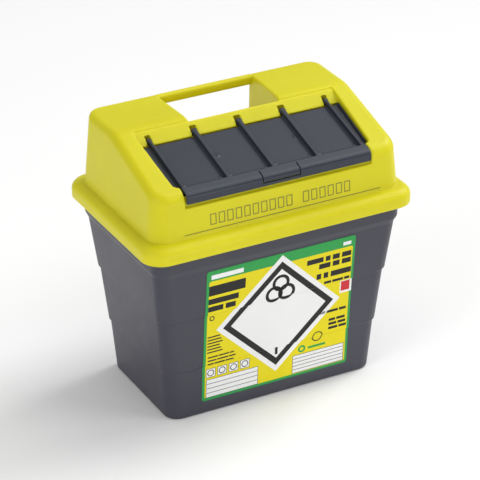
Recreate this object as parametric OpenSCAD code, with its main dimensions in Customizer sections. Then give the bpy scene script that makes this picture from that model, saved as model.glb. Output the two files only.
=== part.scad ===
// Sharps container: a tapered, three-tier base bin, a clip-on lid with a carrying
// handle, and a hinged disposal flap with a springy locking tab in its lip.
// Millimetres. +Z up, the front faces -Y, the origin is the centre of the footprint.

/* [Base bin] */
// Half width of the bin just above its floor
base_half_w = 115.6; // [112:0.1:117]
// How much smaller the half depth is than the half width, at every level
depth_drop = 48.9; // [46:0.1:52]
// Height of the first ledge line round the walls
ledge_1_z = 56; // [50:1:60]
// Height of the second ledge line
ledge_2_z = 116; // [110:1:120]
// Height of the collar's lower edge
collar_z = 171; // [165:1:174]
// Height of the rim
rim_z = 205; // [203:0.5:205.5]
// Wall thickness of all three mouldings
wall = 2; // [1.6:0.1:2.4]
// Radius of the bin's vertical corners
bin_corner_r = 14.6; // [12:0.1:16]

/* [Lid] */
// Half width of the skirt at its lower edge
skirt_half_w = 147; // [146:0.1:150]
// Half depth of the skirt at its lower edge
skirt_half_d = 98.1; // [97:0.1:101]
// Height of the skirt's lower edge
skirt_z = 192.8; // [190:0.1:194]
// Height where the hood rises from the skirt
hood_z = 209.9; // [209:0.1:211]
// Half width of the hood at its foot
hood_half_w = 136.2; // [135.5:0.1:137]
// Half depth of the hood at its foot
hood_half_d = 85.2; // [84.8:0.1:85.6]
// Overall height, at the top of the two lobes
top_z = 285.3; // [285:0.1:286]
// Radius of the hood's vertical corners
hood_corner_r = 17.4; // [15:0.1:19]
// Half width of the finger recess at its front end
recess_half_w = 50; // [46:0.5:52]
// Height of the finger recess's floor
recess_floor_z = 236; // [230:1:240]

/* [Handle] */
// Thickness of the handle bar, front to back
bar_t = 7.4; // [6:0.1:9]
// Height of the handle bar
bar_h = 10.4; // [8:0.1:11]

/* [Flap] */
// Half width of the flap's panel at its back edge
flap_half_back = 109.3; // [107:0.1:109.4]
// Half width of the flap's panel at its front edge
flap_half_front = 106.3; // [104:0.1:106.4]
// Half width of the lip
lip_half_w = 100.5; // [98:0.1:100.7]
// Distance between neighbouring ribs
rib_pitch = 48.8; // [47:0.1:49]
// Width of the three middle ribs
rib_w = 4.4; // [3:0.1:4.6]
// Width of the two outer ribs
end_rib_w = 3; // [2.4:0.1:3.4]
// Half width of the locking tab
tab_half_w = 20; // [14:0.5:24]

/* [Label] */
// Width of the front label
label_w = 165; // [120:1:170]
// Height of the label's lower edge
label_z = 15; // [10:1:40]
// Height of the label's upper edge
label_top_z = 168.5; // [130:0.5:169]

/* [Hidden] */

slate = "#57596a";
clear_z = 400;
yellow = "#dedb4e";
corner_steps = 6;

// Bin: height and half width up the wall, from the floor's rounded edge to the rim.
foot_r = 3;
ledge_w = 1.25;
bin_wall = [
    [0, base_half_w - foot_r],
    [foot_r * 0.3, base_half_w - foot_r * 0.3],
    [foot_r, base_half_w],
    [ledge_1_z, base_half_w + 3.75],
    [ledge_1_z + 1.2, base_half_w + 3.75 + ledge_w],
    [ledge_2_z, base_half_w + 10.3],
    [ledge_2_z + 1.3, base_half_w + 10.3 + ledge_w * 1.2],
    [collar_z, base_half_w + 17.75],
    [collar_z + 2.5, base_half_w + 18.8],
    [collar_z + 6, base_half_w + 20.2],
    [rim_z, base_half_w + 20.9]
];
rim_half_w = base_half_w + 20.9;
flange_z = 197.6;
flange_t = 2;
flange_half_w = skirt_half_w - 3.4;
flange_half_d = skirt_half_d - 3.4;
floor_t = 2.2;

// Lid: the skirt's bullnose, as quarter ellipse steps from the skirt to the hood.
bullnose_z = 201;
bullnose_angles = [0, 20, 40, 60, 78, 90];
edge_r = 8;
hood_draft = 0.067;

// Sloping top of the hood, seen from the side: z = slope_z + slope * y.
slope = 0.31;
slope_z = 280.1;
front_y = -hood_half_d + 2.75;
front_r = 9;
blend_r = 40;
slope_angle = atan(slope);

// Flap well: half widths at its back and front, and the lip's channel.
well_back_y = 10.4;
well_front_y = -69.5;
well_half_back = 110.4;
well_half_front = 106.9;
well_corner_r = 5;
recess_y = well_back_y + 2.5;
channel_half_w = 101.5;
channel_y = -77.5;
channel_floor_z = 240.7;
front_wall_top_z = 252;
well_skin_h = 8;
strip_step = 3.8;
ledge_half_w = well_half_back - 0.3;

// Hinge strip, seen from the side, and the hinge axis just under it.
strip_top = [10.4, 282.2];
strip_foot = [-0.6, 272.8];
strip_t = 1.6;
strip_n = [-(strip_top[1] - strip_foot[1]), strip_top[0] - strip_foot[0]] / norm(strip_top - strip_foot);
hinge_y = 3;
hinge_z = 273;
notch_top_z = 278.9;
notch_back_y = 9.5;
strip_rise = (strip_top[1] - strip_foot[1]) / (strip_top[0] - strip_foot[0]);
ear_t = 2.2;
ear_r = 3.3;
socket_r = 1.62;
trunnion_r = 1.55;
head_r = 2.3;
head_y = 0.6;
head_t = 2.5;

// Flap panel and rib tops, seen from the side: z = offset + flap_slope * y.
flap_slope = 0.2756;
panel_z = 272;
rib_top_z = 276.7;
panel_back_y = -1.8;
rib_back_y = 4.4;
panel_front_y = -66;
riser_y = -72;
riser_t = 2;
panel_t = 2;
rim_t = 1.6;
rim_h = 2;
rib_x = [for (i = [-2:2]) i * rib_pitch];

// Lip: its face, its lower edge, and the round over its crest.
lip_face_y = -83.6;
lip_z = 244.7;
lip_t = 2.2;
crest_r = 4;
lip_rise = 0.6;
tab_x = 1.5;
tab_z = 249.1;
tab_slot = 1;
tab_cut = 0.5;
tab_cut_length = riser_y - lip_face_y - 0.5;
tab_root_a = 60;

function half_d(w) = w - depth_drop;
function slope_at(y) = slope_z + slope * y;
function panel_at(y) = panel_z + flap_slope * y;
function rib_top_at(y) = rib_top_z + flap_slope * y;
function rib_width(x) = abs(x) > rib_pitch * 1.5 ? end_rib_w : rib_w;
function arc(c, r, a0, a1, steps) =
    [for (i = [0:steps]) let (a = a0 + (a1 - a0) * i / steps) c + r * [cos(a), sin(a)]];

// Corner points of a rounded rectangle, counter-clockwise.
function outline(w, d, r) = concat(
    arc([w - r, -d + r], r, -90, 0, corner_steps),
    arc([w - r, d - r], r, 0, 90, corner_steps),
    arc([-w + r, d - r], r, 90, 180, corner_steps),
    arc([-w + r, -d + r], r, 180, 270, corner_steps)
);

// Solid through a stack of rounded rectangles, each given as [z, half w, half d, r].
module loft(rings) {
    n = 4 * (corner_steps + 1);
    last = len(rings) - 1;
    points = [for (s = rings) for (q = outline(s[1], s[2], s[3])) [q[0], q[1], s[0]]];
    sides = [for (k = [0:last - 1]) for (i = [0:n - 1])
        let (a = k * n + i, b = k * n + (i + 1) % n)
        each [[a, a + n, b + n], [a, b + n, b]]];
    base = [for (i = [0:n - 1]) i];
    cap = [for (i = [n - 1:-1:0]) last * n + i];
    polyhedron(points = points, faces = concat([base], [cap], sides));
}

// A side-view outline (y, z) made solid from x0 to x1.
module along_x(x0, x1, points) {
    translate([x0, 0, 0])
        rotate([90, 0, 90])
            linear_extrude(x1 - x0)
                polygon(points);
}

module block(low, high) {
    translate(low)
        cube(high - low);
}

module plate(w, d, r, z0, z1) {
    translate([0, 0, z0])
        linear_extrude(z1 - z0)
            polygon(outline(w, d, r));
}

// ---------------------------------------------------------------- base bin

module container_base() {
    color(slate)
        difference() {
            union() {
                loft([for (p = bin_wall) [p[0], p[1], half_d(p[1]), bin_corner_r]]);
                plate(flange_half_w, flange_half_d, bin_corner_r + 5, flange_z, flange_z + flange_t);
            }
            bin_inside();
        }
}

module bin_inside() {
    inner = [for (p = bin_wall) if (p[0] >= foot_r) [p[0], p[1] - wall]];
    first = [floor_t, inner[0][1] - 1];
    last = [rim_z + 1, inner[len(inner) - 1][1]];
    rings = concat([first], [for (p = inner) if (p[0] < rim_z) p], [last]);
    loft([for (p = rings) [p[0], p[1], half_d(p[1]), bin_corner_r - wall]]);
}

// The label is a film that follows the front wall over its two ledges.
module front_label() {
    t = 0.3;
    low = wall_at(label_z);
    high = wall_at(label_top_z);
    rows = concat([low], [for (p = bin_wall) if (p[0] > label_z && p[0] < label_top_z) p], [high]);
    skin = [for (p = rows) [-half_d(p[1]), p[0]]];
    back = [for (i = [len(skin) - 1:-1:0]) skin[i] - [t, 0]];
    color("#f0f0ee")
        intersection() {
            along_x(-label_w / 2 + tab_x, label_w / 2 + tab_x, concat(skin, back));
            translate([tab_x, 0, (label_z + label_top_z) / 2])
                rotate([90, 0, 0])
                    linear_extrude(skirt_half_d)
                        polygon(outline(label_w / 2, (label_top_z - label_z) / 2, 3));
        }
}

// Point [z, half width] on the bin's wall at height z.
function wall_at(z) = let (
    i = max([for (k = [0:len(bin_wall) - 2]) if (bin_wall[k][0] <= z) k]),
    a = bin_wall[i],
    b = bin_wall[i + 1]
) a + (b - a) * (z - a[0]) / (b[0] - a[0]);

// ---------------------------------------------------------------- lid

// Outside of the skirt and bullnose when inset is 0, its inside when inset is wall.
module skirt_form(inset) {
    rise = hood_z - bullnose_z - inset;
    run = skirt_half_w - hood_half_w;
    nose = [for (a = bullnose_angles)
        [bullnose_z + rise * sin(a), -inset - run * (1 - cos(a))]];
    rows = concat([[skirt_z - inset, -inset]], nose);
    loft([for (p = rows)
        [p[0], skirt_half_w + p[1], skirt_half_d + p[1], hood_corner_r + 5 + p[1] / 2]]);
}

// Drafted hood with a rounded top edge, reaching down into the skirt.
module hood_form(inset) {
    high = top_z - inset;
    shoulder = high - edge_r;
    function lean(z) = hood_draft * (z - hood_z) + inset;
    edge = [for (a = [0, 30, 60, 90]) [shoulder + edge_r * sin(a), edge_r * (1 - cos(a))]];
    rows = concat([[hood_z - 8 - inset, 0]], edge);
    loft([for (p = rows)
        [p[0], hood_half_w - lean(p[0]) - p[1], hood_half_d - lean(p[0]) - p[1] / 2,
            hood_corner_r - inset - p[1] * 0.9]]);
}

// Side view of the hood: level lobes at the back, slope, rounded front corner.
function hood_side(inset) = let (
    high = top_z - inset,
    drop = inset / cos(slope_angle),
    meet_y = (high - slope_z + drop) / slope,
    reach = blend_r * tan(slope_angle / 2),
    nose_r = front_r - inset,
    nose = [front_y + front_r, slope_at(front_y + front_r) - front_r / cos(slope_angle)]
) concat(
    [[hood_half_d + 20, 180], [hood_half_d + 20, high + 1], [meet_y + reach, high + 1]],
    arc([meet_y + reach, high - blend_r + 0.05], blend_r, 90, 90 + slope_angle, 4),
    arc(nose, nose_r, 90 + slope_angle, 180, 6),
    [[front_y - 20 + inset, nose[1] - 2], [front_y - 20 + inset, 180]]
);

module hood_body(inset) {
    intersection() {
        hood_form(inset);
        along_x(-skirt_half_w, skirt_half_w, hood_side(inset));
    }
}

// Plan of the flap well: a trapezoid with rounded front corners.
module well_plan(grow) {
    yb = well_back_y + (grow > 0 ? strip_step : 0);
    yf = well_front_y - grow;
    wb = well_half_back + grow;
    wf = well_half_front + grow;
    r = well_corner_r + grow;
    polygon(concat(
        arc([wf - r, yf + r], r, -90, -2, 5), [[wb, yb], [-wb, yb]],
        arc([-wf + r, yf + r], r, 182, 270, 5)
    ));
}

// Open space of the well, with the channel in front that the lip closes into.
module well_space() {
    far = -hood_half_d - 10;
    deep = channel_floor_z - 15;
    translate([0, 0, deep])
        linear_extrude(100)
            well_plan(0);
    along_x(-channel_half_w, channel_half_w, [
        [far, channel_floor_z], [channel_y - wall, channel_floor_z], [channel_y - wall, front_wall_top_z],
        [channel_y, front_wall_top_z], [channel_y, deep], [well_front_y + 3, deep],
        [well_front_y + 3, deep + 100], [far, deep + 100]
    ]);
}

// What stays solid round the well: its sides and back, and the channel's floor and cheeks.
module well_block() {
    far = -hood_half_d - 10;
    low = channel_floor_z - wall;
    intersection() {
        translate([0, 0, low - 10])
            linear_extrude(100)
                well_plan(wall);
        along_x(-skirt_half_w, skirt_half_w, [
            [far, panel_at(far) - well_skin_h], [30, panel_at(30) - well_skin_h],
            [30, clear_z], [far, clear_z]
        ]);
    }
    along_x(-channel_half_w - wall, channel_half_w + wall, [
        [far, low], [channel_y + 7, low], [channel_y + 7, clear_z], [far, clear_z]
    ]);
}

// Ledges along the two sides of the well, just under the flap's panel.
module well_ledges() {
    gap = 0.5;
    top = panel_z - panel_t / cos(atan(flap_slope)) - gap;
    for (side = [-1, 1])
        intersection() {
            mirror([side < 0 ? 1 : 0, 0, 0])
                translate([0, 0, 225])
                    linear_extrude(60)
                        polygon([
                            [well_half_front - 4, well_front_y + 2], [well_half_front + 1, well_front_y + 2],
                            [well_half_back + 1, well_back_y - 14], [well_half_back - 4, well_back_y - 14]
                        ]);
            along_x(-skirt_half_w, skirt_half_w, [
                for (q = [[-80, 0], [0, 0], [0, -wall], [-80, -wall]])
                    [q[0], top + flap_slope * q[0] + q[1]]
            ]);
        }
}

// Recess for the fingers, open to the top and the back, a little wider at the back.
module recess_form(grow) {
    flare = 3.5;
    y0 = recess_y - grow;
    y1 = hood_half_d + 10;
    w0 = recess_half_w + grow;
    w1 = recess_half_w + flare + grow;
    translate([0, 0, recess_floor_z - grow])
        linear_extrude(100)
            polygon([[-w0, y0], [w0, y0], [w1, y1], [-w1, y1]]);
}

module lid_shell() {
    color(yellow)
        one_skin()
            lid_skin();
}

// Keeps a free-form shell as one faceted skin, at its own size.
module one_skin() {
    resize([0, 0, 0])
        children();
}

module lid_skin() {
    difference() {
        union() {
            skirt_form(0);
            hood_body(0);
        }
        skirt_form(wall);
        difference() {
            hood_body(wall);
            recess_form(wall);
            well_block();
        }
        recess_form(0);
        well_space();
        block(
            [0.5 - recess_half_w, well_back_y - 1, strip_top[1]],
            [recess_half_w - 0.5, recess_y + 1.5, clear_z]
        );
        block([-ledge_half_w, well_back_y - 1, strip_top[1]], [ledge_half_w, recess_y - 0.4, clear_z]);
    }
    well_ledges();
}

// Sloping strip over the flap's back edge, with a notch for each rib and, under it,
// the ears whose sockets carry the flap's trunnions.
module hinge_strip() {
    inner_foot = strip_foot - strip_t * strip_n;
    inner_top = strip_top - strip_t * strip_n;
    back_z = inner_top[1] - (inner_top[0] - well_back_y) * strip_rise;
    color(yellow)
        difference() {
            union() {
                intersection() {
                    along_x(-skirt_half_w, skirt_half_w,
                        [strip_top, strip_foot, inner_foot, [well_back_y, back_z]]);
                    well_space();
                }
                for (x = rib_x)
                    for (side = [-1, 1])
                        hinge_ear(x + side * (notch_half(x) + ear_t / 2));
            }
            for (x = rib_x) {
                block(
                    [x - notch_half(x), strip_foot[0] - 1, hinge_z - 5],
                    [x + notch_half(x), notch_back_y, notch_top_z]
                );
                translate([x, hinge_y, hinge_z])
                    rotate([0, 90, 0])
                        cylinder(h = 2 * (notch_half(x) + ear_t) + 1, r = socket_r, center = true, $fn = 32);
            }
        }
}

module hinge_ear(x) {
    intersection() {
        union() {
            translate([x, hinge_y, hinge_z])
                rotate([0, 90, 0])
                    cylinder(h = ear_t, r = ear_r, center = true, $fn = 32);
            block([x - ear_t / 2, hinge_y, hinge_z - 1], [x + ear_t / 2, well_back_y, hinge_z + ear_r]);
        }
        along_x(x - ear_t, x + ear_t, [
            strip_top, strip_foot, strip_foot - [0, 6],
            [well_back_y, hinge_z - 6], [well_back_y, strip_top[1]]
        ]);
    }
}

function notch_half(x) = rib_width(x) / 2 + 1.2;

// The handle bar closes the recess at the back, between the lobes.
module carry_handle() {
    low = top_z - bar_h;
    back = hood_half_d - hood_draft * (top_z - hood_z);
    front = back - bar_t;
    r = 2.6;
    color(yellow)
        intersection() {
            along_x(-recess_half_w - 12, recess_half_w + 12, concat(
                arc([back - r, low + r], r, -90, 0, 5),
                arc([back - edge_r * 0.4, top_z - edge_r * 0.4], edge_r * 0.4, 0, 90, 5),
                arc([front + edge_r * 0.4, top_z - edge_r * 0.4], edge_r * 0.4, 90, 180, 5),
                arc([front + r, low + r], r, 180, 270, 5)
            ));
            recess_form(0);
        }
}

// ---------------------------------------------------------------- flap

// Centre of the round over the lip's crest, seen from the side.
crest = [lip_face_y + crest_r, lip_roof_at(lip_face_y + crest_r) - crest_r / cos(slope_angle)];

function lip_roof_at(y) = slope_at(y) + lip_rise;

// Side view of the lip: its roof, the round over its crest, and its face.
function lip_side() = concat(
    [[riser_y, lip_roof_at(riser_y)]],
    arc(crest, crest_r, 90 + slope_angle, 180, 6),
    [[lip_face_y, lip_z], [lip_face_y + lip_t, lip_z]],
    arc(crest, crest_r - lip_t, 180, 90 + slope_angle, 6),
    [[riser_y, lip_roof_at(riser_y) - lip_t / cos(slope_angle)]]
);

// Sloping slab between two heights over the panel's surface, y0 in front of y1.
module sloping_slab(y0, y1, low, high) {
    along_x(-skirt_half_w, skirt_half_w, [
        [y0, panel_at(y0) + low], [y1, panel_at(y1) + low],
        [y1, panel_at(y1) + high], [y0, panel_at(y0) + high]
    ]);
}

// Plan of the panel: a trapezoid with rounded front corners.
module panel_plan(inset) {
    wb = flap_half_back - inset;
    wf = flap_half_front - inset;
    r = 4;
    translate([0, 0, 230])
        linear_extrude(80)
            polygon(concat(
                arc([wf - r, panel_front_y + r], r, -90, -2, 4), [[wb, 0], [-wb, 0]],
                arc([-wf + r, panel_front_y + r], r, 182, 270, 4)
            ));
}

// The panel, its two side rims, and the riser that carries the lip.
module panel() {
    intersection() {
        sloping_slab(panel_front_y, panel_back_y, -panel_t, 0);
        panel_plan(0);
    }
    difference() {
        intersection() {
            sloping_slab(panel_front_y + 4, panel_back_y - 1.4, -panel_t / 2, rim_h);
            panel_plan(0);
        }
        panel_plan(rim_t);
    }
    foot = panel_at(riser_y) - panel_t;
    along_x(-lip_half_w, lip_half_w, [
        [riser_y, foot], [panel_front_y + 1, panel_at(panel_front_y + 1) - panel_t],
        [panel_front_y + 1, panel_at(panel_front_y + 1)], [riser_y + riser_t, panel_at(riser_y + riser_t)],
        [riser_y + riser_t, lip_roof_at(riser_y + riser_t) - 1.5], [riser_y, lip_roof_at(riser_y)]
    ]);
}

// One rib, from the lip's riser to its head in the notch.
module rib(x) {
    w = rib_width(x);
    hinge = [hinge_y, hinge_z];
    front = riser_y + riser_t / 2;
    along_x(x - w / 2, x + w / 2, [
        [front, panel_at(front) - 1], [panel_back_y, panel_at(panel_back_y) - 1.6],
        hinge + [-0.4, 0.1 - head_r], hinge + [1.2, -1],
        [rib_back_y, rib_top_at(rib_back_y)], [front, rib_top_at(front)]
    ]);
}

// Head at a rib's end that fills the notch, round underneath, with a trunnion at both sides.
module rib_head(x) {
    half = notch_half(x) - 0.4;
    along_x(x - half, x + half, [
        for (q = [[head_y, -head_t], [rib_back_y, -head_t], [rib_back_y, 0], [head_y, 0]])
            [q[0], rib_top_at(q[0]) + q[1]]
    ]);
    translate([x, hinge_y, hinge_z])
        rotate([0, 90, 0]) {
            cylinder(h = 2 * half, r = head_r, center = true, $fn = 32);
            cylinder(h = 2 * (notch_half(x) + ear_t) - 0.8, r = trunnion_r, center = true, $fn = 32);
        }
}

module flap_door() {
    color(slate)
        difference() {
            union() {
                panel();
                for (x = rib_x) {
                    rib(x);
                    rib_head(x);
                }
                along_x(-lip_half_w, lip_half_w, lip_side());
            }
            tab_window();
        }
}

// Window in the lip for the locking tab, and the two cuts that run on over the roof.
module tab_window() {
    half = tab_half_w + tab_cut;
    root = crest + crest_r * [-cos(tab_root_a), sin(tab_root_a)];
    low = tab_z - tab_slot;
    along_x(tab_x - half, tab_x + half, [
        [lip_face_y - 1, low], [crest[0] + 1, low], [crest[0] + 1, crest[1]],
        root + [0.3, 0.5], [lip_face_y - 1, root[1] + 0.5]
    ]);
    for (side = [-1, 1])
        translate([tab_x + side * (half - tab_cut / 2) - tab_cut / 2, lip_face_y, low])
            cube([tab_cut, tab_cut_length, 20]);
}

// Springy tongue in the middle of the lip's face.
module flap_latch() {
    a = 180 - tab_root_a;
    color(slate)
        along_x(tab_x - tab_half_w, tab_x + tab_half_w, concat(
            arc(crest, crest_r, a + 5, 180, 5),
            [[lip_face_y, tab_z], [lip_face_y + lip_t, tab_z]],
            arc(crest, crest_r - lip_t, 180, a + 12, 5)
        ));
}

// ---------------------------------------------------------------- snap catches

// A springy hook of the given length that hangs inside the skirt and grips the flange.
module catch(length) {
    stem_t = 1.4;
    reach = 1.5;
    low = skirt_z + 0.6;
    top = bullnose_z - 0.5;
    color(yellow)
        translate([-length / 2, 0, 0])
            rotate([90, 0, 90])
                linear_extrude(length)
                    polygon([
                        [0, low], [-stem_t, low], [-stem_t - reach, flange_z - 1.6],
                        [-stem_t - reach + 0.2, flange_z - 0.4], [-stem_t * 0.75, flange_z - 0.4],
                        [-stem_t * 0.75, top], [0, top]
                    ]);
}

module catch_row(offset, at, turn) {
    for (x = at)
        rotate([0, 0, turn])
            translate([x, offset - wall, 0])
                catch(24);
}

module catch_front() { catch_row(skirt_half_d, [-90, 0, 90], 180); }
module catch_back() { catch_row(skirt_half_d, [-90, 0, 90], 0); }
module catch_left() { catch_row(skirt_half_w, [-38, 38], 90); }
module catch_right() { catch_row(skirt_half_w, [-38, 38], -90); }

container_base();
lid_shell();
carry_handle();
hinge_strip();
flap_door();
flap_latch();
front_label();
catch_front();
catch_back();
catch_left();
catch_right();
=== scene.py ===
import math

import bmesh
import bpy
import numpy as np
from mathutils import Matrix, Vector


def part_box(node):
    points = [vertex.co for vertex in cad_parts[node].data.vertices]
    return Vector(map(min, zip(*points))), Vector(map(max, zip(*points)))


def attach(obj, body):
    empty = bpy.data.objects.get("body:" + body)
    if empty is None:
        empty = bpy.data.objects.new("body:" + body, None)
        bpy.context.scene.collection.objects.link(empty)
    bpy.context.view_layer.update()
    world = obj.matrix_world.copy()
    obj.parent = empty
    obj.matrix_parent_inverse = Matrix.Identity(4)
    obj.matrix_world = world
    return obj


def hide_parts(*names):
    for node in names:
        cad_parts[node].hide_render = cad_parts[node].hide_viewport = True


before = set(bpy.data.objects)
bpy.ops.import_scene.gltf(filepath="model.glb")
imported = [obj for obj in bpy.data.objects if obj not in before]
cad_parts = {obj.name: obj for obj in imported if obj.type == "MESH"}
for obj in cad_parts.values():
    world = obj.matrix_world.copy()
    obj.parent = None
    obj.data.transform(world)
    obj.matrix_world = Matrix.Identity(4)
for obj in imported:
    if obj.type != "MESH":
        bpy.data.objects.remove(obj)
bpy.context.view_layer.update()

# A sharps container: slate bin, yellow clip-on lid, ribbed slate flap and a printed label.
# Shapes are worked out in millimetres and written in metres. +Z is up and the front faces -Y.

MM = 0.001


def mm_box(node):
    """Lowest and highest corner of a CAD node, in millimetres."""
    low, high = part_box(node)
    return low / MM, high / MM


lid_low, lid_high = mm_box("lid_shell")
bin_high = mm_box("container_base")[1]
bar_low, bar_high = mm_box("carry_handle")
strip_low, strip_high = mm_box("hinge_strip")
flap_low, flap_high = mm_box("flap_door")
tab_low, tab_high = mm_box("flap_latch")
label_low, label_high = mm_box("front_label")

# Lid moulding: skirt with its bullnose, hood, and the slope that the flap lies in
WALL = 2.0
SKIRT_W, SKIRT_D, SKIRT_R = lid_high.x, lid_high.y, 22.3
SKIRT_Z, TOP_Z = lid_low.z, lid_high.z
NOSE_RUN, NOSE_RISE = 10.8, 8.9
HOOD_Z = SKIRT_Z + 17.1
HOOD_W, HOOD_D, HOOD_R = SKIRT_W - NOSE_RUN, SKIRT_D - 12.9, 17.4
DRAFT = 0.067
SLOPE, SLOPE_Z = 0.31, TOP_Z - 5.2
SLOPE_COS = math.cos(math.atan(SLOPE))
HOOD_EDGE_R, BACK_EDGE_R, BACK_EDGE_Y = 8, 4, (62, 76)

# Finger recess, flap well and the channel that the lip closes into
RECESS_Z, RECESS_Y = SKIRT_Z + 43.2, strip_high.y + 2.5
RECESS_W, RECESS_FLARE = 50, 3.5
WELL_BACK = strip_high.y
WELL_FRONT, WELL_W_BACK, WELL_W_FRONT = -69.5, strip_high.x, strip_high.x - 3.5
CHANNEL_W, CHANNEL_Y, CHANNEL_Z, FRONT_WALL_Z = 101.5, -77.5, 240.7, 252.0
LEDGE_DROP, LEDGE_W, LEDGE_INNER = 2.57, 4.2, 103.1
SADDLE_W = 49.3

# Round marks left on the lobes and the panel where the plastic ran into the mould
LOBE_GATES = ((-76.3, 34.6), (81.6, 35.3))

# The well's and the flap's front corners end here, in degrees, because their sides widen backwards
CORNER_END = -2

# Hinge strip, hinge axis and flap
HINGE_Y, HINGE_Z = 3.0, 273.0
STRIP_TOP, STRIP_FOOT = (strip_high.y, 282.2), (strip_low.y, 272.8)
STRIP_T = 1.7
NOTCH_Z, NOTCH_BACK, NOTCH_GAP = 278.9, 9.5, 1.2
EAR_R, EAR_W, SOCKET_R, HEAD_R, PIN_R = 3.3, 2.2, 1.65, 2.25, 1.5
FLAP_SLOPE, PANEL_Z, RIB_Z = 0.2756, 272.0, 276.7
FLAP_COS = math.cos(math.atan(FLAP_SLOPE))
PANEL_BACK, PANEL_FRONT = -1.8, -66.0
RISER_Y, LIP_FACE, LIP_Z, LIP_W = -72.0, flap_low.y, flap_low.z, 100.5
FLAP_W_BACK, FLAP_W_FRONT, PANEL_T, RIM_T, RIM_H = 109.3, 106.3, 2, 1.6, 2.8
RIB_PITCH, RIB_BACK = 48.8, 4.4
RIBS = [(i * RIB_PITCH, 1.5 if abs(i) == 2 else 2.2) for i in range(-2, 3)]
PANEL_GATES = (-0.88 * RIB_PITCH, 0.88 * RIB_PITCH)
TAB_X = (tab_low.x + tab_high.x) / 2
TAB_W, TAB_Z = (tab_high.x - tab_low.x) / 2, tab_low.z
CREST_R, LIP_RISE, LIP_T = 5.5, 0.6, 2.2
SLOT_W, SLOT_H = 0.65, 1.0

# Bin: half width at its foot, foot's radius, floor, flange that the lid snaps over, corners
BIN_FOOT_W, BIN_FOOT_R, BIN_FLOOR_Z, BIN_BASE_STEP = 115.6, 3, 2.4, 1.2
FLANGE_LOW_Z, FLANGE_HIGH_Z = 197.6, 199.6
BIN_CORNER_R = 14.6


def slope_at(y):
    """Height of the lid's slope."""
    return SLOPE_Z + SLOPE * y


def panel_at(y):
    """Height of the flap's panel."""
    return PANEL_Z + FLAP_SLOPE * y


def rib_top_at(y):
    """Height of the ribs' tops."""
    return RIB_Z + FLAP_SLOPE * y


def arc(centre, radius, start, end, steps):
    """Points (u, v) along an arc, from the start angle to the end angle in degrees."""
    angles = [math.radians(start + (end - start) * i / steps) for i in range(steps + 1)]
    return [(centre[0] + radius * math.cos(a), centre[1] + radius * math.sin(a)) for a in angles]


# ---------------------------------------------------------------- distance fields, negative inside


def round_max(a, b, r):
    """Where both solids are, with the edge between them rounded to radius r."""
    corner = np.hypot(np.maximum(a + r, 0), np.maximum(b + r, 0))
    return np.minimum(np.maximum(a, b) + r, 0) + corner - r


def soft_max(a, b, k):
    """Where both solids are, with a blend about k wide."""
    return np.maximum(a, b) + np.maximum(k - np.abs(a - b), 0) ** 2 / (4 * k)


def soft_min(a, b, k):
    """Both solids joined, with a fillet about k wide."""
    return -soft_max(-a, -b, k)


def within(v, low, high):
    """Distance to the slab between low and high."""
    return np.maximum(low - v, v - high)


def rounded_plan(x, y, w, d, r):
    """Distance to a rounded rectangle of half width w and half depth d."""
    qx, qy = np.abs(x) - (w - r), np.abs(y) - (d - r)
    outside = np.hypot(np.maximum(qx, 0), np.maximum(qy, 0))
    return np.minimum(np.maximum(qx, qy), 0) + outside - r


def outline(u, v, points):
    """Distance to a closed outline given by its corners."""
    near = np.full(np.broadcast_shapes(u.shape, v.shape), 1e6, np.float32)
    inside = np.zeros(near.shape, bool)
    for (au, av), (bu, bv) in zip(points, points[1:] + points[:1]):
        eu, ev = bu - au, bv - av
        t = np.clip(((u - au) * eu + (v - av) * ev) / max(eu * eu + ev * ev, 1e-9), 0, 1)
        near = np.minimum(near, np.hypot(u - au - t * eu, v - av - t * ev))
        if ev:
            inside ^= ((av <= v) != (bv <= v)) & (u < au + (v - av) * eu / ev)
    return np.where(inside, -near, near).astype(np.float32)


def grid(low, high, step):
    """Coordinates along each axis, shaped so that they combine into one grid.

    The lows passed in have odd decimals, so that flat faces fall between grid points.
    """
    x, y, z = (np.arange(a, b + step, step, dtype=np.float32) for a, b in zip(low, high))
    return x[:, None, None], y[None, :, None], z[None, None, :]


def skin(name, field, low, step):
    """Object whose surface is where the field is zero, with one vertex in each cell that it crosses."""
    inside = field < 0
    cells_n = [n - 1 for n in field.shape]
    corners = [(i, j, k) for i in (0, 1) for j in (0, 1) for k in (0, 1)]
    count = np.zeros(cells_n, np.int8)
    for c in corners:
        count += inside[tuple(slice(o, o + n) for o, n in zip(c, cells_n))]
    cells = np.argwhere((count > 0) & (count < 8))
    values = np.stack([field[tuple((cells + c).T)] for c in corners], 1)
    total, crossings = np.zeros((len(cells), 3)), np.zeros(len(cells))
    for a, ca in enumerate(corners):
        for b, cb in enumerate(corners):
            along = np.subtract(cb, ca)
            if along.min() < 0 or along.sum() != 1:
                continue
            cut = (values[:, a] < 0) != (values[:, b] < 0)
            share = values[cut, a] / (values[cut, a] - values[cut, b])
            total[cut] += np.array(ca) + share[:, None] * along
            crossings[cut] += 1
    points = (cells + total / crossings[:, None]) * step + np.array(low)

    index = np.full(cells_n, -1, np.int32)
    index[tuple(cells.T)] = np.arange(len(cells))
    quads = []
    for axis in range(3):
        u, v = np.eye(3, dtype=int)[[(axis + 1) % 3, (axis + 2) % 3]]
        first = [slice(0, n) if i == axis else slice(1, n) for i, n in enumerate(cells_n)]
        second = [slice(1, n + 1) if i == axis else slice(1, n) for i, n in enumerate(cells_n)]
        out, back = inside[tuple(first)], inside[tuple(second)]
        for chosen, order in ((out & ~back, 1), (back & ~out, -1)):
            at = np.argwhere(chosen) + u + v
            ring = [index[tuple((at - o).T)] for o in (u + v, v, 0 * u, u)]
            quads.append(np.stack(ring[::order], 1))
    return mesh_object(name, points, np.concatenate(quads))


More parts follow.
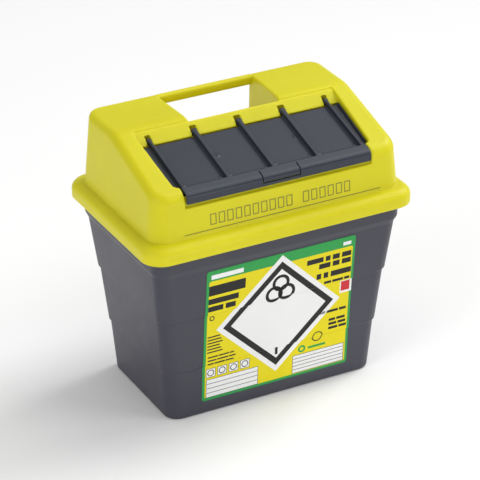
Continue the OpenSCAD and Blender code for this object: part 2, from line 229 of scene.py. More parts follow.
def mesh_object(name, points, quads):
    """Smooth object from points in millimetres and four corners a face."""
    mesh = bpy.data.meshes.new(name)
    mesh.vertices.add(len(points))
    mesh.vertices.foreach_set("co", (points * MM).astype(np.float32).ravel())
    mesh.loops.add(quads.size)
    mesh.loops.foreach_set("vertex_index", quads.astype(np.int32).ravel())
    mesh.polygons.add(len(quads))
    mesh.polygons.foreach_set("loop_start", np.arange(0, quads.size, 4, dtype=np.int32))
    mesh.update(calc_edges=True)
    mesh.validate()
    mesh.shade_smooth()
    return link(name, mesh)


def link(name, mesh):
    piece = bpy.data.objects.new(name, mesh)
    bpy.context.scene.collection.objects.link(piece)
    return piece


# ---------------------------------------------------------------- lid moulding


def lid_body(x, y, z):
    """Skirt with its bullnose, and the hood with its slope, lobes and rounded edges, as one solid."""
    plan = rounded_plan(x, y, SKIRT_W, SKIRT_D, SKIRT_R)
    nose = np.hypot(
        np.maximum(plan + NOSE_RUN, 0) / NOSE_RUN,
        np.maximum(z - HOOD_Z + NOSE_RISE, 0) / NOSE_RISE,
    )
    skirt = (nose - 1) * NOSE_RISE
    lean = DRAFT * (z - HOOD_Z)
    hood_plan = rounded_plan(x, y, HOOD_W - lean, HOOD_D - lean, HOOD_R)
    top = soft_max(z - TOP_Z, (z - slope_at(y)) * SLOPE_COS, 1.9)
    to_back = np.clip((y - BACK_EDGE_Y[0]) / (BACK_EDGE_Y[1] - BACK_EDGE_Y[0]), 0, 1)
    edge_r = HOOD_EDGE_R + (BACK_EDGE_R - HOOD_EDGE_R) * to_back
    hood = round_max(hood_plan, top, edge_r)
    return soft_min(skirt, hood, 1.6)


def well_outline(grow):
    """The flap well seen from above, larger all round by grow and by more at its back."""
    r = 5 + grow
    wf, wb = WELL_W_FRONT + grow, WELL_W_BACK + grow
    yf, yb = WELL_FRONT - grow, WELL_BACK + grow * 1.9
    right = arc((wf - r, yf + r), r, -90, CORNER_END, 6)
    return right + [(wb, yb), (-wb, yb)] + [(-u, v) for u, v in reversed(right)]


def recess_field(x, y, z, grow):
    """The finger recess, wider towards the back, larger all round by grow."""
    near, far = RECESS_Y - grow, HOOD_D + 10
    w = RECESS_W + grow
    plan = [(-w, near), (w, near), (w + RECESS_FLARE, far), (-w - RECESS_FLARE, far)]
    return round_max(outline(x, y, plan), RECESS_Z - grow - z, 2.5)


def well_fields(x, y, z):
    """The open space of the well and channel, and the block that stays solid round them."""
    far = -SKIRT_D - 10
    side = [
        (far, CHANNEL_Z), (CHANNEL_Y - WALL, CHANNEL_Z), (CHANNEL_Y - WALL, FRONT_WALL_Z),
        (CHANNEL_Y, FRONT_WALL_Z), (CHANNEL_Y, 150), (WELL_FRONT + 3, 150),
        (WELL_FRONT + 3, 400), (far, 400),
    ]
    plan = outline(x, y, well_outline(0))
    channel = round_max(outline(y, z, side), np.abs(x) - CHANNEL_W, 0.8)
    space = np.minimum(plan, channel)
    skin_low = (panel_at(y) - 8 - z) * 0.96
    block = np.maximum(np.maximum(outline(x, y, well_outline(WALL)), skin_low), y - 30)
    front = within(y, far, CHANNEL_Y + 7)
    front = np.maximum(np.maximum(front, CHANNEL_Z - WALL - z), np.abs(x) - CHANNEL_W - WALL)
    return space, np.minimum(block, front)


def strip_field(x, y, z):
    """Sloping strip over the flap's back edge, its five notches, and the hinge ears under it."""
    run, rise = STRIP_TOP[0] - STRIP_FOOT[0], STRIP_TOP[1] - STRIP_FOOT[1]
    length = math.hypot(run, rise)
    over = ((z - STRIP_FOOT[1]) * run - (y - STRIP_FOOT[0]) * rise) / length
    plan = outline(x, y, well_outline(0.4))
    strip = np.maximum(within(over, -STRIP_T, 0), np.maximum(STRIP_FOOT[0] - y, z - STRIP_TOP[1]))
    strip = np.maximum(soft_max(strip, over, 0.6), plan)
    barrel = np.hypot(y - HINGE_Y, z - HINGE_Z)
    web = np.maximum(within(y, HINGE_Y, WELL_BACK + 1), within(z, HINGE_Z - 1, HINGE_Z + EAR_R))
    ear = np.maximum(np.minimum(barrel - EAR_R, web), over)
    for rib_x, rib_w in RIBS:
        notch = rib_w + NOTCH_GAP
        off = np.abs(x - rib_x)
        gap = np.maximum(within(y, STRIP_FOOT[0] - 3, NOTCH_BACK), within(z, HINGE_Z - 5, NOTCH_Z))
        strip = soft_max(strip, -np.maximum(gap, off - notch), 0.6)
        ears = np.maximum(ear, within(off, notch, notch + EAR_W))
        strip = np.minimum(strip, np.maximum(ears, SOCKET_R - barrel))
    return strip


def ledge_field(x, y, z):
    """Ledges along the well's sides that the closed flap rests on."""
    top = panel_at(y) - LEDGE_DROP
    plan = outline(x, y, well_outline(0))
    ledge = np.maximum(within(z - top, -WALL, 0), within(plan, -LEDGE_W, 0.6))
    ledge = np.maximum(ledge, LEDGE_INNER - np.abs(x))
    return np.maximum(ledge, within(y, WELL_FRONT + 2, WELL_BACK - 14))


def make_lid():
    """Lid, handle bar and hinge strip as one moulding."""
    step = 1.0
    low = (-SKIRT_W - 2.37, -SKIRT_D - 2.43, SKIRT_Z - 2.39)
    high = (SKIRT_W + 3, SKIRT_D + 3, TOP_Z + 3)
    x, y, z = grid(low, high, step)
    body = lid_body(x, y, z)
    space, block = well_fields(x, y, z)
    hollow = np.maximum(body + WALL, -recess_field(x, y, z, WALL))
    lid = np.maximum(body, -np.maximum(hollow, -block))
    lid = soft_max(lid, -recess_field(x, y, z, 0), 2.4)
    lid = soft_max(lid, -space, 1.6)
    above_strip = STRIP_TOP[1] - z
    saddle = np.maximum(within(y, WELL_BACK - 1, RECESS_Y + 1.5), np.abs(x) - SADDLE_W)
    lid = soft_max(lid, -np.maximum(saddle, above_strip), 1.0)
    ledge = np.maximum(within(y, WELL_BACK - 1, RECESS_Y), np.abs(x) - WELL_W_BACK)
    lid = soft_max(lid, -round_max(ledge, above_strip, 0.8), 0.8)
    for gate_x, gate_y in LOBE_GATES:
        gate = np.hypot(x - gate_x, y - gate_y)
        lid = np.maximum(lid, -np.maximum(np.abs(gate - 2.6) - 0.7, TOP_Z - 0.5 - z))
    lid = soft_max(lid, SKIRT_Z - z, 0.8)
    lid = soft_min(lid, strip_field(x, y, z), 0.8)
    lid = np.minimum(lid, ledge_field(x, y, z))
    half_t, half_h = (bar_high.y - bar_low.y) / 2, (bar_high.z - bar_low.z) / 2
    bar = rounded_plan(y - bar_low.y - half_t, z - bar_low.z - half_h, half_t, half_h, 3.0)
    lid = soft_min(lid, np.maximum(bar, np.abs(x) - bar_high.x), 1.6)
    lid = np.maximum(lid, z - TOP_Z)
    return skin("lid_moulding", lid, low, step)


# ---------------------------------------------------------------- flap moulding


def flap_plan():
    """The flap's panel seen from above."""
    r = 4
    right = arc((FLAP_W_FRONT - r, PANEL_FRONT + r), r, -90, CORNER_END, 5)
    return right + [(FLAP_W_BACK, 0), (-FLAP_W_BACK, 0)] + [(-u, v) for u, v in reversed(right)]


def rib_side():
    """Side view of a rib, from the riser to its rounded end at the hinge."""
    front = RISER_Y + 1
    return [
        (front, panel_at(front) - 1), (PANEL_BACK, panel_at(PANEL_BACK) - 1.6),
        (HINGE_Y - 0.4, HINGE_Z - 2.2), (HINGE_Y + 1.2, HINGE_Z - 1),
        (RIB_BACK, rib_top_at(RIB_BACK)), (front, rib_top_at(front)),
    ]


def lip_roof_at(y):
    """Height of the lip's roof, a little above the lid's slope."""
    return slope_at(y) + LIP_RISE


def lip_side():
    """Side view of the lip: roof, the round over its crest, and face."""
    tilt = math.degrees(math.atan(SLOPE))
    crest_y = LIP_FACE + CREST_R
    crest = (crest_y, lip_roof_at(crest_y) - CREST_R / SLOPE_COS)
    outer = arc(crest, CREST_R, 90 + tilt, 180, 8)
    inner = arc(crest, CREST_R - LIP_T, 180, 90 + tilt, 8)
    foot = [(LIP_FACE, LIP_Z), (LIP_FACE + LIP_T, LIP_Z)]
    end = [(RISER_Y + 2, lip_roof_at(RISER_Y + 2) - LIP_T / SLOPE_COS - 1)]
    return [(RISER_Y, lip_roof_at(RISER_Y))] + outer + foot + inner + end


def make_flap():
    """Panel, rims, riser and ribs of the flap."""
    step = 0.75
    low = (flap_low.x - 1.61, RISER_Y - 1.57, LIP_Z + 2.33)
    high = (flap_high.x + 2, flap_high.y + 2, 280)
    x, y, z = grid(low, high, step)
    above = (z - panel_at(y)) * FLAP_COS
    plan = outline(x, y, flap_plan())
    panel = np.maximum(within(above, -PANEL_T, 0), y - PANEL_BACK)
    flap = round_max(panel, plan, 0.6)
    rim = round_max(within(above, -1, RIM_H), within(plan, -RIM_T, 0), 0.5)
    rim = np.maximum(rim, within(y, PANEL_FRONT + 4, PANEL_BACK - 1.4))
    flap = soft_min(flap, rim, 0.6)
    riser = outline(y, z, [
        (RISER_Y, panel_at(RISER_Y) - 2), (PANEL_FRONT + 1, panel_at(PANEL_FRONT + 1) - 2),
        (PANEL_FRONT + 1, panel_at(PANEL_FRONT + 1)), (RISER_Y + 2, panel_at(RISER_Y + 2)),
        (RISER_Y + 2, lip_roof_at(RISER_Y + 2) - 2.4), (RISER_Y, lip_roof_at(RISER_Y) - 2.4),
    ])
    flap = soft_min(flap, np.maximum(riser, np.abs(x) - LIP_W), 0.8)
    side, barrel = outline(y, z, rib_side()), np.hypot(y - HINGE_Y, z - HINGE_Z)
    for rib_x, half in RIBS:
        off = np.abs(x - rib_x)
        rib = round_max(side, off - half, 0.4)
        foot_y = PANEL_FRONT + 3.2
        boss = np.hypot(off - half - 2.4, y - foot_y)
        flap = soft_min(flap, np.maximum(boss - 1.5, within(above, -1, 0.45)), 0.6)
        flap = soft_min(flap, rib, 0.7)
        top = (z - rib_top_at(y)) * FLAP_COS
        cap = np.maximum(within(top, -2.4, 0), within(y, 0.6, RIB_BACK))
        head = round_max(np.minimum(barrel - HEAD_R, cap), off - half - NOTCH_GAP + 0.4, 0.4)
        pin = np.maximum(barrel - PIN_R, off - half - NOTCH_GAP - EAR_W + 0.4)
        flap = np.minimum(flap, np.minimum(head, pin))
    for gate_x in PANEL_GATES:
        gate = np.hypot(x - gate_x, y - (PANEL_BACK + PANEL_FRONT) / 2)
        flap = soft_min(flap, np.maximum(gate - 1.9, within(above, -1, 0.6)), 0.8)
    return skin("flap_panel", flap, low, step)


def make_lip():
    """The flap's lip, with the window and slots round the locking tab."""
    step = 0.42
    low = (-LIP_W - 1.31, LIP_FACE - 1.27, LIP_Z - 1.33)
    high = (LIP_W + 1.5, RISER_Y + 4, lip_roof_at(RISER_Y) + 1.5)
    x, y, z = grid(low, high, step)
    lip = round_max(outline(y, z, lip_side()), np.abs(x) - LIP_W, 0.7)
    off = np.abs(x - TAB_X)
    foot = TAB_Z - SLOT_H
    window = np.maximum(within(z, foot, 400), off - TAB_W - SLOT_W)
    behind = outline(y, z, [
        (LIP_FACE - 5, foot), (LIP_FACE + 5, foot),
        (LIP_FACE + 5, lip_roof_at(LIP_FACE) - 3.6), (LIP_FACE - 5, lip_roof_at(LIP_FACE) - 0.6),
    ])
    lip = np.maximum(lip, -np.maximum(window, behind))
    slots = np.abs(off - TAB_W - SLOT_W / 2) - SLOT_W / 2
    slots = np.maximum(slots, within(y, LIP_FACE - 5, RISER_Y - 1.6))
    lip = np.maximum(lip, -np.maximum(slots, foot - z))
    return skin("flap_lip", lip, low, step)


def make_tab():
    """The locking tab, cut from the same side view as the lip."""
    step = 0.4
    low = (TAB_X - TAB_W - 1.31, LIP_FACE - 1.27, TAB_Z - 1.33)
    high = (TAB_X + TAB_W + 1.5, LIP_FACE + 6, lip_roof_at(LIP_FACE) + 1.5)
    x, y, z = grid(low, high, step)
    tab = round_max(outline(y, z, lip_side()), np.abs(x - TAB_X) - TAB_W, 0.5)
    root = outline(y, z, [
        (LIP_FACE - 5, TAB_Z), (LIP_FACE + 5, TAB_Z),
        (LIP_FACE + 5, lip_roof_at(LIP_FACE) - 3.3), (LIP_FACE - 5, lip_roof_at(LIP_FACE) - 0.3),
    ])
    return skin("locking_tab", round_max(tab, root, 0.5), low, step)


# ---------------------------------------------------------------- bin


def bin_wall():
    """(half width, z) up the outside of the bin, from its floor's edge to the collar's top."""
    w = BIN_FOOT_W
    return [
        (w, 3), (w + 3.75, 56), (w + 5, 57.2), (w + 10.3, 116), (w + 11.8, 117.3),
        (w + 17.75, 171), (w + 18.8, 173.5), (w + 20.2, 177), (w + 20.8, 197.4),
    ]


def eased(profile, r, steps=4):
    """The profile with each inner corner replaced by a short curve."""
    out = [profile[0]]
    for before, here, after in zip(profile, profile[1:], profile[2:]):
        a, b = Vector(before) - Vector(here), Vector(after) - Vector(here)
        reach = min(r, a.length * 0.45, b.length * 0.45)
        start, end = Vector(here) + a.normalized() * reach, Vector(here) + b.normalized() * reach
        for i in range(steps + 1):
            t = i / steps
            point = start * (1 - t) ** 2 + Vector(here) * 2 * t * (1 - t) + end * t * t
            out.append(tuple(point))
    return out + [profile[-1]]


def plan_ring(w, z, depth_drop, r, steps=10):
    """A rounded rectangle at height z, its half depth less than its half width by depth_drop."""
    d = w - depth_drop
    ring = []
    for sx, sy, start in ((1, -1, -90), (1, 1, 0), (-1, 1, 90), (-1, -1, 180)):
        ring += arc((sx * (w - r), sy * (d - r)), r, start, start + 90, steps)
    return [(u, v, z) for u, v in ring]


def make_bin():
    """The bin as one skin: base, foot, outside, flange, rim, inside and floor."""
    wall = bin_wall()
    rim_w, rim_z = wall[-1][0], bin_high.z
    foot_w = BIN_FOOT_W
    drop = bin_high.x - bin_high.y
    foot = arc((foot_w - BIN_FOOT_R, BIN_FOOT_R), BIN_FOOT_R, -90, 0, 5)
    base = [(foot_w - 13, BIN_BASE_STEP), (foot_w - 11, BIN_BASE_STEP), (foot_w - 9.5, 0)]
    flange = [(bin_high.x, FLANGE_LOW_Z), (bin_high.x, FLANGE_HIGH_Z), (rim_w, FLANGE_HIGH_Z)]
    lip = [(rim_w, rim_z), (rim_w - WALL, rim_z)]
    floor = [(foot_w - WALL, 5), (foot_w - 5, BIN_FLOOR_Z)]
    inside = [(w - WALL, z) for w, z in reversed(wall)] + floor
    profile = eased(base + foot + wall[1:] + flange + lip + inside, 0.8)
    rings = []
    for w, z in profile:
        corner = BIN_CORNER_R + 0.7 * max(0, w - rim_w) - min(WALL, max(0, (foot_w - w) * 0.3))
        rings.append(plan_ring(w, z, drop, corner))
    bm = bmesh.new()
    loops = [[bm.verts.new(Vector(p) * MM) for p in ring] for ring in rings]
    for low, high in zip(loops, loops[1:]):
        for i in range(len(low)):
            j = (i + 1) % len(low)
            bm.faces.new((low[i], low[j], high[j], high[i]))
    bm.faces.new(list(reversed(loops[0])))
    bm.faces.new(loops[-1])
    bmesh.ops.recalc_face_normals(bm, faces=bm.faces)
    mesh = bpy.data.meshes.new("bin_moulding")
    bm.to_mesh(mesh)
    bm.free()
    mesh.shade_smooth()
    mesh.set_sharp_from_angle(angle=math.radians(50))
    return link("bin_moulding", mesh)


# ---------------------------------------------------------------- label


def front_at(z):
    """How far forward the bin's front wall is at a height, in millimetres."""
    wall = bin_wall()
    half = np.interp(z, [p[1] for p in wall], [p[0] for p in wall])
    return half - (bin_high.x - bin_high.y)


def rounded_rectangle(x0, x1, z0, z1, r):
    """Corners of a rectangle with round corners of radius r."""
    w, h = (x1 - x0) / 2, (z1 - z0) / 2
    cx, cz = (x0 + x1) / 2, (z0 + z1) / 2
    points = []
    for sx, sz, start in ((1, -1, -90), (1, 1, 0), (-1, 1, 90), (-1, -1, 180)):
        points += arc((cx + sx * (w - r), cz + sz * (h - r)), r, start, start + 90, 5)
    return points


def rectangle(x0, x1, z0, z1):
    """Corners of a rectangle, from its edges."""
    return [(x0, z0), (x1, z0), (x1, z1), (x0, z1)]


def diamond(cx, cz, half):
    """Corners of a square stood on one corner, half being half its diagonal."""
    return [(cx, cz - half), (cx + half, cz), (cx, cz + half), (cx - half, cz)]


def ring_bars(cx, cz, outer, inner, steps=28):
    """A ring, as quads."""
    bars = []
    for i in range(steps):
        a, b = 2 * math.pi * i / steps, 2 * math.pi * (i + 1) / steps
        bars.append([
            (cx + r * math.cos(t), cz + r * math.sin(t))
            for r, t in ((outer, a), (outer, b), (inner, b), (inner, a))
        ])
    return bars


class Print:
    """Flat shapes (x, z) laid on the bin's front wall in thin layers of ink."""

    film, layer_t, ink_t = 0.30, 0.04, 0.02

    def __init__(self):
        self.shapes = {}

    def add(self, ink, layer, *shapes):
        """Puts shapes of one ink into a layer, 0 being the film itself."""
        self.shapes.setdefault((ink, layer), []).extend(shapes)

    def build(self, name, layer, shapes):
        """One object of all the shapes of one ink in one layer, bent to follow the wall."""
        bm = bmesh.new()
        for shape in shapes:
            bm.faces.new([bm.verts.new((u, 0, v)) for u, v in shape])
        bmesh.ops.remove_doubles(bm, verts=bm.verts, dist=0.001)
        for _, z in bin_wall():
            everything = bm.verts[:] + bm.edges[:] + bm.faces[:]
            bmesh.ops.bisect_plane(bm, geom=everything, plane_co=(0, 0, z), plane_no=(0, 0, 1))
        base = self.film + self.layer_t * layer
        made = bmesh.ops.extrude_face_region(bm, geom=bm.faces[:])
        front = {v for v in made["geom"] if isinstance(v, bmesh.types.BMVert)}
        for v in bm.verts:
            out = base + self.ink_t if v in front else base - self.ink_t
            v.co.y = -front_at(v.co.z) - out
            v.co *= MM
        bmesh.ops.recalc_face_normals(bm, faces=bm.faces)
        mesh = bpy.data.meshes.new(name)
        bm.to_mesh(mesh)
        bm.free()
        return link(name, mesh)


def words(x0, x1, z0, z1, lengths):
    """A line of plain bars, as long as its words are, in the given proportions."""
    gap = (z1 - z0) * 0.45
    room = (x1 - x0) - gap * (len(lengths) - 1)
    bars, at = [], x0
    for share in lengths:
        width = room * share / sum(lengths)
        bars.append(rectangle(at, at + width, z0, z1))
        at += width + gap
    return bars


def frame_bars(x0, x1, z0, z1, t):
    """The four sides of a rectangle, t wide and just apart at the corners."""
    low, high = z0 + t + 0.1, z1 - t - 0.1
    return [
        rectangle(x0, x1, z0, z0 + t), rectangle(x0, x1, z1 - t, z1),
        rectangle(x0, x0 + t, low, high), rectangle(x1 - t, x1, low, high),
    ]


def form_box(x0, x1, z0, z1, rows):
    """The ruled lines of a form, between its edges."""
    heights = [z0 + (z1 - z0) * i / rows for i in range(1, rows)]
    lines = [rectangle(x0 + 1, x1 - 1, z - 0.3, z + 0.3) for z in heights]
    return lines + frame_bars(x0, x1, z0, z1, 0.5)


def print_diamond(sheet, cx, cz):
    """White diamond with a black band, three rings at its top and a bar at its foot."""
    edge, outer, inner = 69.3, 61.9, 53.2
    sheet.add("white", 2, diamond(cx, cz, edge))
    outside, inside = diamond(cx, cz, outer), diamond(cx, cz, inner)
    for i in range(4):
        j = (i + 1) % 4
        sheet.add("black", 3, [outside[i], outside[j], inside[j], inside[i]])
    for angle in (90, 210, 330):
        a = math.radians(angle)
        sheet.add("black", 3, *ring_bars(cx + 8 * math.cos(a), cz + 29 + 8 * math.sin(a), 9.6, 6.2))
    sheet.add("black", 3, rectangle(cx - 1.5, cx + 1.5, cz - 49, cz - 40))


def print_forms(sheet, x0, x1):
    """Two ruled forms at the label's foot, and four small ringed squares over the left one."""
    for left, right, low, high, rows in (
        (x0 + 4.4, x0 + 62.7, 18, 39.6, 4), (x0 + 101.8, x1 - 4.3, 18.6, 40, 5),
    ):
        sheet.add("white", 2, rectangle(left, right, low, high))
        sheet.add("black", 3, *form_box(left, right, low, high, rows))
    for i in range(4):
        left, side, low = x0 + 4 + 12.7 * i, 10.6, 41.8
        sheet.add("white", 2, rectangle(left, left + side, low, low + 10.5))
        sheet.add("black", 3, *ring_bars(left + side / 2, low + 5.2, 3.8, 2.9))
        sheet.add("black", 3, *form_box(left, left + side, low, low + 10.5, 1))


def print_words(sheet):
    """Plain bars for the header and for the lines of words down both sides."""
    for ink, layer, left, right, low, high, lengths in (
        ("black", 2, -78, -38, 139.5, 151, [1]), ("black", 2, -78, -45, 129.6, 136, [1]),
        ("white", 3, -76, -41, 158.5, 163.5, [1]), ("white", 3, 70, 79, 159, 163, [1]),
        ("black", 2, -78, -48, 121, 127, [6, 4]), ("black", 2, 30, 80, 145.9, 151.7, [7, 2, 3, 4]),
        ("black", 2, 44, 80, 138, 143.8, [5, 3, 4]), ("black", 2, 42, 81, 126, 132.4, [2, 2, 9]),
        ("black", 2, 51, 80, 118.6, 121.6, [4, 6, 3]), ("black", 2, 45, 79, 82, 85, [4, 5, 3]),
        ("green", 2, 38, 58, 44, 46.6, [1]),
    ):
        sheet.add(ink, layer, *words(left, right, low, high, lengths))
    for i in range(6):
        z = 71.5 + 3.6 * i
        sheet.add("black", 2, rectangle(-77, -60 - (i % 3) * 1.6, z, z + 1.5))
    for i in range(3):
        low = 57.4 + 4 * i
        sheet.add("black", 2, *words(-76, -47 + (i % 2) * 2, low, low + 1.6, [3 + i, 5, 4 - i]))
        low = 61.5 + 5 * i
        sheet.add("black", 2, *words(60, 80.5 - i, low, low + 3, [5 - i, 4]))


def make_label():
    """The printed film: green sheet, yellow field, diamond, forms, bars, rings and a red square."""
    sheet = Print()
    x0, x1, z0, z1 = label_low.x, label_high.x, label_low.z, label_high.z
    sheet.add("green", 0, rounded_rectangle(x0, x1, z0, z1, 3))
    sheet.add("yellow", 1, rounded_rectangle(x0 + 3, x1 - 2.6, z0 + 3, z1 - 12, 2))
    print_diamond(sheet, (x0 + x1) / 2 + 0.2, 97)
    print_forms(sheet, x0, x1)
    sheet.add("white", 2, rectangle(x1 - 13.5, x1 - 0.2, 102, 117))
    sheet.add("red", 3, rectangle(x1 - 12.3, x1 - 2.5, 104.5, 115.5))
    print_words(sheet)
    sheet.add("black", 2, *ring_bars(-72.7, 112, 2.8, 1.7), *ring_bars(48, 56.6, 6, 4.8))
    sheet.add("green", 2, *ring_bars(31, 46, 4.2, 2.2))
    pieces = []
    for (ink, layer), shapes in sheet.shapes.items():
        name = f"label_{ink}_{layer}"
        piece = sheet.build(name, layer, shapes)
        piece.data.materials.append(inks[ink])
        pieces.append(piece)
    return pieces


def make_lid_marks():
    """Plain frames and an underline on the lid's front wall, raised by a fraction of a millimetre. They
    are given a darker olive material as painted shade of the moulded relief.
    """
    x0, z0, pitch, width, height, stroke = -76.7, 218.5, 9.15, 6.7, 11.5, 1.0
    places, gap_at, raised, sunk = 17, 10, 0.12, 0.3
    bars = []
    for i in range(places):
        left = x0 + pitch * i
        if i != gap_at:
            bars += frame_bars(left, left + width, z0, z0 + height, stroke)
    bars.append(rectangle(-104.6, 110.2, 213.6, 214.5))
    bm = bmesh.new()
    for bar in bars:
        bm.faces.new([bm.verts.new((u, 0, v)) for u, v in bar])
    made = bmesh.ops.extrude_face_region(bm, geom=bm.faces[:])
    front = {v for v in made["geom"] if isinstance(v, bmesh.types.BMVert)}
    for v in bm.verts:
        wall_y = -(HOOD_D - DRAFT * (v.co.z - HOOD_Z))
        v.co.y = wall_y + (-raised if v in front else sunk)
        v.co *= MM
    bmesh.ops.recalc_face_normals(bm, faces=bm.faces)
    mesh = bpy.data.meshes.new("lid_marks")
    bm.to_mesh(mesh)
    bm.free()
    return link("lid_marks", mesh)


# ---------------------------------------------------------------- materials


def linear(r, g, b):
    """A colour from its 0 to 255 screen values."""
    return [((c / 255 + 0.055) / 1.055) ** 2.4 if c > 10 else c / 3295 for c in (r, g, b)] + [1]


def add_node(tree, kind, **values):
    """A shader node with the given inputs, or properties where it has no such input."""
    node = tree.nodes.new(kind)
    for key, value in values.items():
        if key in node.inputs:
            node.inputs[key].default_value = value
        else:
            setattr(node, key.lower(), value)
    return node


def moulded_plastic(name, colour, shade, rough_low, rough_high, grain, depth, **shader):
    """Injection-moulded plastic: a slow drift in colour, flow marks in the gloss, and a fine grain."""
    material = bpy.data.materials.new(name)
    material.use_nodes = True
    tree = material.node_tree
    surface = tree.nodes["Principled BSDF"]
    for key, value in shader.items():
        surface.inputs[key.replace("_", " ")].default_value = value
    coords = add_node(tree, "ShaderNodeTexCoord")
    drift = add_node(tree, "ShaderNodeTexNoise", Scale=9.0, Detail=3.0)
    tint = add_node(tree, "ShaderNodeValToRGB")
    tint.color_ramp.elements[0].position, tint.color_ramp.elements[1].position = 0.35, 0.68
    tint.color_ramp.elements[0].color, tint.color_ramp.elements[1].color = shade, colour
    flow = add_node(tree, "ShaderNodeTexNoise", Scale=55.0, Detail=5.0, Roughness=0.6, Distortion=0.8)
    gloss = add_node(tree, "ShaderNodeMapRange")
    gloss.inputs["To Min"].default_value, gloss.inputs["To Max"].default_value = rough_low, rough_high
    fine = add_node(tree, "ShaderNodeTexNoise", Scale=grain, Detail=4.0, Roughness=0.65)
    bump = add_node(tree, "ShaderNodeBump", Strength=0.35, Distance=depth)
    links = tree.links
    for noise in (drift, flow, fine):
        links.new(coords.outputs["Object"], noise.inputs["Vector"])
    links.new(drift.outputs["Fac"], tint.inputs["Fac"])
    links.new(tint.outputs["Color"], surface.inputs["Base Color"])
    links.new(flow.outputs["Fac"], gloss.inputs["Value"])
    links.new(gloss.outputs["Result"], surface.inputs["Roughness"])
    links.new(fine.outputs["Fac"], bump.inputs["Height"])
    links.new(bump.outputs["Normal"], surface.inputs["Normal"])
    return material


yellow = moulded_plastic(
    "yellow_polypropylene", linear(218, 210, 32), linear(211, 202, 24), 0.34, 0.46, 1400, 0.00008,
    Specular_IOR_Level=0.25, Subsurface_Weight=0.5, Subsurface_Radius=(1.0, 0.9, 0.1),
    Subsurface_Scale=0.006, IOR=1.49,
)
slate = moulded_plastic(
    "slate_polypropylene", linear(65, 65, 76), linear(59, 59, 70), 0.36, 0.50, 1200, 0.00012,
    Specular_IOR_Level=0.4,
)
flap_slate = moulded_plastic(
    "flap_polypropylene", linear(43, 48, 61), linear(39, 44, 57), 0.26, 0.38, 1500, 0.0001,
    Specular_IOR_Level=0.4,
)
# Painted shade: the lid's moulded marks get this darker olive so that they read as the shade in their
# relief.
mark_painted_shade = moulded_plastic(
    "lid_marks_painted_shade", linear(140, 136, 30), linear(128, 124, 26), 0.4, 0.55, 1500, 0.00005, IOR=1.49,
)
inks = {
    ink: moulded_plastic(
        f"label_{ink}", linear(*colour), linear(*[c * 0.97 for c in colour]),
        0.30, 0.40, 2600, 0.00002, Specular_IOR_Level=0.3,
    )
    for ink, colour in {
        "green": (44, 158, 75), "yellow": (232, 216, 4), "white": (240, 240, 240),
        "black": (26, 26, 24), "red": (206, 44, 52),
    }.items()
}


# ---------------------------------------------------------------- assembly


def place(piece, body, slot, material, *nodes):
    """Gives a piece its material and body, and hides the CAD nodes that it replaces. The slot is not
    used.
    """
    piece.data.materials.clear()
    piece.data.materials.append(material)
    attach(piece, body)
    if nodes:
        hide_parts(*nodes)


place(make_bin(), "base", "bin_slate", slate, "container_base")
place(make_lid(), "lid", "lid_yellow", yellow, "lid_shell", "carry_handle", "hinge_strip")
# The lid's marks take the darker olive material that paints the shade of their relief.
place(make_lid_marks(), "lid", "lid_yellow", mark_painted_shade)
place(make_flap(), "flap", "flap_slate", flap_slate, "flap_door")
place(make_lip(), "flap", "flap_slate", flap_slate, "flap_door")
place(make_tab(), "latch", "flap_slate", flap_slate, "flap_latch")
for piece in make_label():
    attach(piece, "base")
    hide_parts("front_label")
for name in ("catch_front", "catch_back", "catch_left", "catch_right"):
    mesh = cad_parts[name].data
    mesh.materials.clear()
    mesh.materials.append(yellow)


# ---------------------------------------------------------------- floor, light and camera


def make_floor():
    """A plain pale floor, far wider than the view."""
    mesh = bpy.data.meshes.new("floor")
    bm = bmesh.new()
    half = 6.0
    bm.faces.new([bm.verts.new((x, y, 0)) for x, y in rectangle(-half, half, -half, half)])
    bm.to_mesh(mesh)
    bm.free()
    material = bpy.data.materials.new("pale_floor")
    material.use_nodes = True
    surface = material.node_tree.nodes["Principled BSDF"]
    surface.inputs["Base Color"].default_value = (0.97, 0.97, 0.97, 1)
    surface.inputs["Roughness"].default_value = 0.9
    mesh.materials.append(material)
    floor = link("floor", mesh)


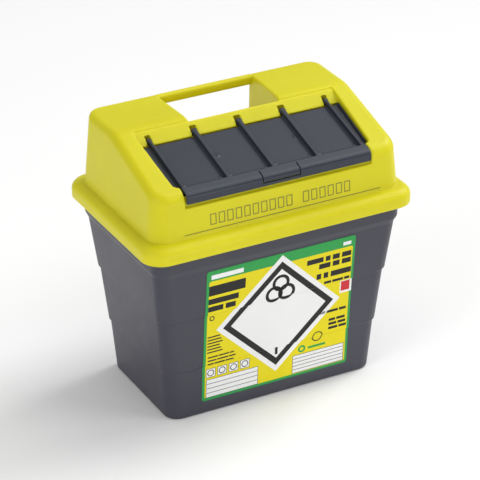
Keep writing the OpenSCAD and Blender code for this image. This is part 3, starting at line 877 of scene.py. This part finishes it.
def area_light(name, at, target, size, power):
    """A round soft light at a place, turned towards a target."""
    light = bpy.data.lights.new(name, "AREA")
    light.shape, light.size, light.energy = "DISK", size, power
    lamp = bpy.data.objects.new(name, light)
    lamp.location = at
    lamp.rotation_euler = (Vector(target) - Vector(at)).to_track_quat("-Z", "Y").to_euler()
    bpy.context.scene.collection.objects.link(lamp)


def sun_light(name, toward, angle, power):
    """A wide, even light from one direction."""
    light = bpy.data.lights.new(name, "SUN")
    light.angle, light.energy = math.radians(angle), power
    lamp = bpy.data.objects.new(name, light)
    lamp.rotation_euler = Vector(toward).to_track_quat("Z", "Y").to_euler()
    bpy.context.scene.collection.objects.link(lamp)


def make_camera():
    """The photograph's viewpoint: a long lens from the front left, a little above."""
    at, lens = (-1.0279, -1.9631, 1.2998), 187.0
    azimuth, elevation, roll = math.radians(-27.614), math.radians(27.53), math.radians(-0.53)
    level = math.cos(elevation)
    back = Vector((math.sin(azimuth) * level, -math.cos(azimuth) * level, math.sin(elevation)))
    right = Vector((0, 0, 1)).cross(back).normalized()
    up = back.cross(right)
    turned = right * math.cos(roll) + up * math.sin(roll)
    up = up * math.cos(roll) - right * math.sin(roll)
    camera = bpy.data.cameras.new("camera")
    camera.sensor_width, camera.lens = 36, lens
    view = bpy.data.objects.new("camera", camera)
    turn = Matrix((turned, up, back)).transposed().to_4x4()
    view.matrix_world = Matrix.Translation(at) @ turn
    bpy.context.scene.collection.objects.link(view)
    bpy.context.scene.camera = view


make_floor()
make_camera()
sun_light("key", (0.75, 0.10, 0.65), 30, 1.3)
area_light("top", (0.9, 0.2, 2.2), (0, 0, 0.25), 1.6, 12)
area_light("crest", (1.0, -1.2, 2.0), (0, 0, 0.25), 0.9, 7)
area_light("front", (0.3, -2.0, 0.2), (0, 0, 0.15), 0.8, 8)
area_light("left", (-1.8, -0.6, 1.1), (0, 0, 0.15), 1.2, 11)
world = bpy.data.worlds.new("studio")
world.use_nodes = True
world.node_tree.nodes["Background"].inputs["Color"].default_value = (1, 1, 1, 1)
world.node_tree.nodes["Background"].inputs["Strength"].default_value = 0.45
bpy.context.scene.world = world
bpy.context.scene.view_settings.view_transform = "Standard"
